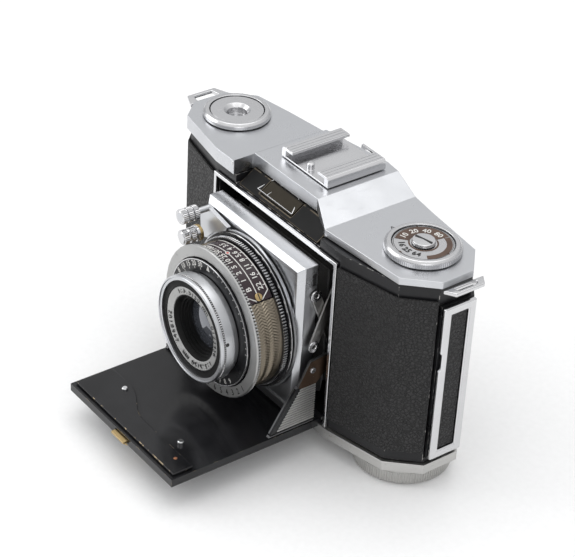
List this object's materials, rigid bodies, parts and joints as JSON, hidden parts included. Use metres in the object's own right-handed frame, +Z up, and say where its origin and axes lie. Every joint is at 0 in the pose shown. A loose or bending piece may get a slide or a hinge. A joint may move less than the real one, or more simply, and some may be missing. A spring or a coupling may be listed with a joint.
{
  "type": "folding viewfinder camera",
  "caption": "Compact folding 35 mm viewfinder camera with drop-down door open, strut-mounted lens standard with milled rings, hinged back, accessory shoe and two base knobs.",
  "frame": {"origin": "on the underside of the base plate, on the lens axis's vertical plane, at the middle of the body's depth", "axes": "the lens looks along -Y, +X is the winding end with the reminder dial, +Z is up; at rest the door is open and the lens is out"},
  "size_m": [0.1264, 0.094, 0.081],
  "materials": {
    "black_enamel": "black satin enamel on metal",
    "base_aluminium": "scuffed bare aluminium",
    "knob_aluminium": "fluted aluminium",
    "steel": "plain steel",
    "satin_chrome": "fine satin chrome",
    "polished_chrome": "bright polished chrome",
    "leather": "black wrinkled leather covering",
    "finder_glass": "clear finder glass, dark inside",
    "lens_glass": "coated lens glass",
    "dial_enamel": "dark brown and silver dial enamel",
    "scale_enamel": "purple-black scale enamel with white figures",
    "bronze": "dull bronze-grey milled band",
    "brass": "worn brass",
    "black_plastic": "black moulded spool",
    "bellows_cloth": "black pleated bellows cloth"
  },
  "bodies": {
    "body": {"body_casting": "black_enamel", "base_plate": "base_aluminium", "tripod_bush": "steel", "top_cover": "satin_chrome", "door_trim": "polished_chrome", "front_leather_right": "leather", "front_leather_left": "leather", "strap_lug_left": "polished_chrome", "strap_lug_right": "polished_chrome", "finder_mask": "black_enamel", "finder_window": "finder_glass", "finder_tube": "black_enamel", "finder_rear_lens": "finder_glass", "eyepiece_frame": "polished_chrome", "accessory_shoe": "satin_chrome", "release_collar": "polished_chrome", "release_spring": "steel", "back_hinge_pin": "steel", "door_hinge_pin": "steel", "bellows": "bellows_cloth"},
    "dial": {"dial_rim": "polished_chrome", "dial_disc": "dial_enamel", "dial_screw": "polished_chrome"},
    "release": {"release_button": "satin_chrome"},
    "winder": {"winding_knob": "knob_aluminium", "winding_shaft": "steel", "take_up_spool": "black_plastic"},
    "rewinder": {"rewind_knob": "knob_aluminium", "rewind_fork": "steel"},
    "back": {"back_door": "black_enamel", "back_leather": "leather", "end_frame": "polished_chrome", "end_leather": "leather", "pressure_plate": "black_enamel", "pressure_spring": "steel"},
    "door": {"door_plate": "black_enamel", "door_raised_plate": "black_enamel", "gusset_right": "base_aluminium", "gusset_left": "base_aluminium"},
    "latch": {"latch_tongue": "brass"},
    "standard": {"standard_frame": "satin_chrome", "shutter_flange": "polished_chrome", "shutter_case": "black_enamel", "shutter_blades": "steel", "iris_blades": "black_enamel", "rear_lens_cell": "black_enamel", "rear_lens": "lens_glass", "sync_terminal": "brass"},
    "upper_strut_right": {"upper_arm_right": "steel"},
    "upper_strut_left": {"upper_arm_left": "steel"},
    "lower_strut_right": {"lower_arm_right": "steel"},
    "lower_strut_left": {"lower_arm_left": "steel"},
    "aperture": {"aperture_ring": "bronze", "scale_window": "scale_enamel"},
    "speed": {"speed_ring": "satin_chrome"},
    "focus": {"distance_face": "black_enamel", "focus_ring": "satin_chrome", "name_ring": "black_enamel", "front_lens": "lens_glass"},
    "cocking": {"cocking_lever": "satin_chrome"}
  },
  "joints": [
    {"name": "lens_slide", "type": "slide", "parent": "body", "child": "standard", "axis": [0, 1, 0], "range_m": [0, 0.024], "deforming": ["bellows"]},
    {"name": "door_hinge", "type": "hinge", "parent": "body", "child": "door", "pos_m": [0, -0.0174, 0.005], "axis": [-1, 0, 0], "range_deg": [0, 28.8]},
    {"name": "upper_strut_right_pivot", "type": "hinge", "parent": "standard", "child": "upper_strut_right", "pos_m": [0.0244, -0.021, 0.0493], "axis": [-1, 0, 0], "range_deg": [0, 30]},
    {"name": "upper_strut_left_pivot", "type": "hinge", "parent": "standard", "child": "upper_strut_left", "pos_m": [-0.0244, -0.021, 0.0493], "axis": [-1, 0, 0], "range_deg": [0, 30]},
    {"name": "lower_strut_right_pivot", "type": "hinge", "parent": "standard", "child": "lower_strut_right", "pos_m": [0.0253, -0.0216, 0.0322], "axis": [1, 0, 0], "range_deg": [0, 30]},
    {"name": "lower_strut_left_pivot", "type": "hinge", "parent": "standard", "child": "lower_strut_left", "pos_m": [-0.0253, -0.0216, 0.0322], "axis": [1, 0, 0], "range_deg": [0, 30]},
    {"name": "focus_turn", "type": "hinge", "parent": "standard", "child": "focus", "pos_m": [0, -0.0449, 0.0328], "axis": [0, 1, 0], "range_deg": [-130, 130]},
    {"name": "speed_turn", "type": "hinge", "parent": "standard", "child": "speed", "pos_m": [0, -0.0401, 0.0328], "axis": [0, 1, 0], "range_deg": [-90, 90]},
    {"name": "aperture_turn", "type": "hinge", "parent": "standard", "child": "aperture", "pos_m": [0, -0.0344, 0.0328], "axis": [0, 1, 0], "range_deg": [-40, 40]},
    {"name": "cocking_swing", "type": "hinge", "parent": "standard", "child": "cocking", "pos_m": [0, -0.0273, 0.0328], "axis": [0, -1, 0], "range_deg": [0, 10]},
    {"name": "latch_slide", "type": "slide", "parent": "door", "child": "latch", "axis": [0, 1, 0], "range_m": [0, 0.001], "stiffness_N_per_m": 400},
    {"name": "release_press", "type": "slide", "parent": "body", "child": "release", "axis": [0, 0, -1], "range_m": [0, 0.0015], "stiffness_N_per_m": 500, "deforming": ["release_spring"]},
    {"name": "dial_turn", "type": "hinge", "parent": "body", "child": "dial", "pos_m": [0.0441, 0.001, 0.0698], "axis": [0, 0, 1], "continuous": true},
    {"name": "winding_turn", "type": "hinge", "parent": "body", "child": "winder", "pos_m": [0.0437, 0.0008, 0], "axis": [0, 0, 1], "continuous": true},
    {"name": "rewind_turn", "type": "hinge", "parent": "body", "child": "rewinder", "pos_m": [-0.0427, -0.001, 0], "axis": [0, 0, 1], "continuous": true},
    {"name": "back_hinge", "type": "hinge", "parent": "body", "child": "back", "pos_m": [-0.0496, 0.0119, 0.0325], "axis": [0, 0, 1], "range_deg": [0, 110]}
  ],
  "couplings": [
    {"joint": "door_hinge", "follows": "lens_slide", "rad_per_m": 20.9},
    {"joint": "upper_strut_right_pivot", "follows": "lens_slide", "rad_per_m": 21.8},
    {"joint": "upper_strut_left_pivot", "follows": "lens_slide", "rad_per_m": 21.8},
    {"joint": "lower_strut_right_pivot", "follows": "lens_slide", "rad_per_m": 21.8},
    {"joint": "lower_strut_left_pivot", "follows": "lens_slide", "rad_per_m": 21.8}
  ]
}
